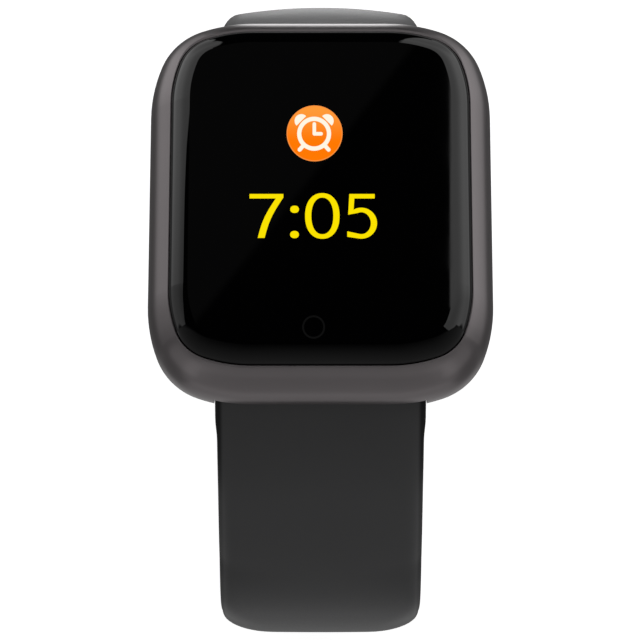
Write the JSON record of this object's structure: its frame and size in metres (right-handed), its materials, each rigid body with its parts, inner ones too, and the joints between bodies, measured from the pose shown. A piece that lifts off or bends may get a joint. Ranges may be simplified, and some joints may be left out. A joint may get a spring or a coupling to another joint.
{
  "type": "smartwatch",
  "caption": "Rectangular smartwatch with curved black glass, rounded gunmetal case and open silicone strap with pin buckle, shown with a time and alarm screen.",
  "frame": {"origin": "bottom centre of the bounding box: the floor under the strap's foot, midway between the two strap bulges", "axes": "+Z out of the screen, +Y towards 12 o'clock, +X towards 3 o'clock"},
  "size_m": [0.0366, 0.0706, 0.0604],
  "materials": {
    "case_metal": "satin gunmetal finish",
    "cover_glass": "black-backed, polished",
    "strap_silicone": "smooth matte silicone",
    "back_plastic": "fine matte",
    "inner_plastic": "moulded",
    "adhesive_foam": "black foam",
    "screen_layers": "laminated",
    "flex_film": "polyimide film",
    "circuit_board": "solder mask",
    "chip_epoxy": "moulded epoxy",
    "battery_wrap": "foil pouch",
    "lead_wire": "wire insulation",
    "steel": "brushed",
    "dark_steel": "satin gunmetal",
    "contact_gold": "gold plated",
    "magnet": "nickel plated",
    "sensor_lens": "dark tinted",
    "led_green": "clear epoxy",
    "screen_graphics": "lit display graphics"
  },
  "bodies": {
    "case": {"case_frame": "case_metal", "cover_glass": "cover_glass", "glass_adhesive": "adhesive_foam", "mid_frame": "inner_plastic", "display_flex": "flex_film", "back_cover": "back_plastic", "back_gasket": "adhesive_foam", "back_screws": "dark_steel", "touch_panel": "screen_layers", "display_panel": "screen_layers", "backlight": "inner_plastic", "main_board": "circuit_board", "main_chip": "chip_epoxy", "memory_chip": "chip_epoxy", "power_chip": "chip_epoxy", "clock_crystal": "steel", "board_connector": "inner_plastic", "antenna": "flex_film", "battery": "battery_wrap", "battery_leads": "lead_wire", "battery_plug": "inner_plastic", "motor_base": "steel", "motor_can": "steel", "motor_shaft": "steel", "sensor_board": "circuit_board", "sensor_leds": "led_green", "photodiode": "chip_epoxy", "light_barrier": "inner_plastic", "sensor_window": "sensor_lens", "sensor_flex": "flex_film", "charging_contacts": "contact_gold", "charging_magnets": "magnet"},
    "tail_strap": {"tail_strap": "strap_silicone", "tail_bar_tube": "steel", "tail_bar_fixed_tip": "steel", "tail_bar_spring": "steel"},
    "tail_release": {"tail_bar_release": "steel"},
    "buckle_strap": {"buckle_strap": "strap_silicone", "buckle_end_bar_tube": "steel", "buckle_end_bar_fixed_tip": "steel", "buckle_end_bar_spring": "steel", "buckle_bar": "steel", "fixed_keeper": "strap_silicone"},
    "buckle_end_release": {"buckle_end_bar_release": "steel"},
    "buckle": {"buckle_frame": "dark_steel"},
    "tongue": {"buckle_tongue": "dark_steel"},
    "free_keeper": {"free_keeper": "strap_silicone"},
    "motor_rotor": {"motor_rotor": "steel"}
  },
  "joints": [
    {"name": "tail_strap_hinge", "type": "hinge", "parent": "case", "child": "tail_strap", "pos_m": [0, -0.0193, 0.05274], "axis": [-1, 0, 0], "range_deg": [-8, 30]},
    {"name": "buckle_strap_hinge", "type": "hinge", "parent": "case", "child": "buckle_strap", "pos_m": [0, 0.0193, 0.05274], "axis": [1, 0, 0], "range_deg": [-9, 30]},
    {"name": "tail_release_slide", "type": "slide", "parent": "tail_strap", "child": "tail_release", "axis": [1, 0, 0], "range_m": [0, 0.0012], "stiffness_N_per_m": 400, "springref_m": -0.001, "deforming": ["tail_bar_spring"]},
    {"name": "buckle_end_release_slide", "type": "slide", "parent": "buckle_strap", "child": "buckle_end_release", "axis": [1, 0, 0], "range_m": [0, 0.0012], "stiffness_N_per_m": 400, "springref_m": -0.001, "deforming": ["buckle_end_bar_spring"]},
    {"name": "buckle_hinge", "type": "hinge", "parent": "buckle_strap", "child": "buckle", "pos_m": [0, 0.00939, 0.01674], "axis": [1, 0, 0], "range_deg": [-60, 40]},
    {"name": "tongue_hinge", "type": "hinge", "parent": "buckle", "child": "tongue", "pos_m": [0, 0.00939, 0.01674], "axis": [1, 0, 0], "range_deg": [0, 50]},
    {"name": "free_keeper_slide", "type": "slide", "parent": "buckle_strap", "child": "free_keeper", "axis": [0, -1, 0], "range_m": [0, 0.003]},
    {"name": "motor_rotor_spin", "type": "hinge", "parent": "case", "child": "motor_rotor", "pos_m": [0.009, -0.0076, 0.05294], "axis": [0, 0, 1], "continuous": true}
  ]
}
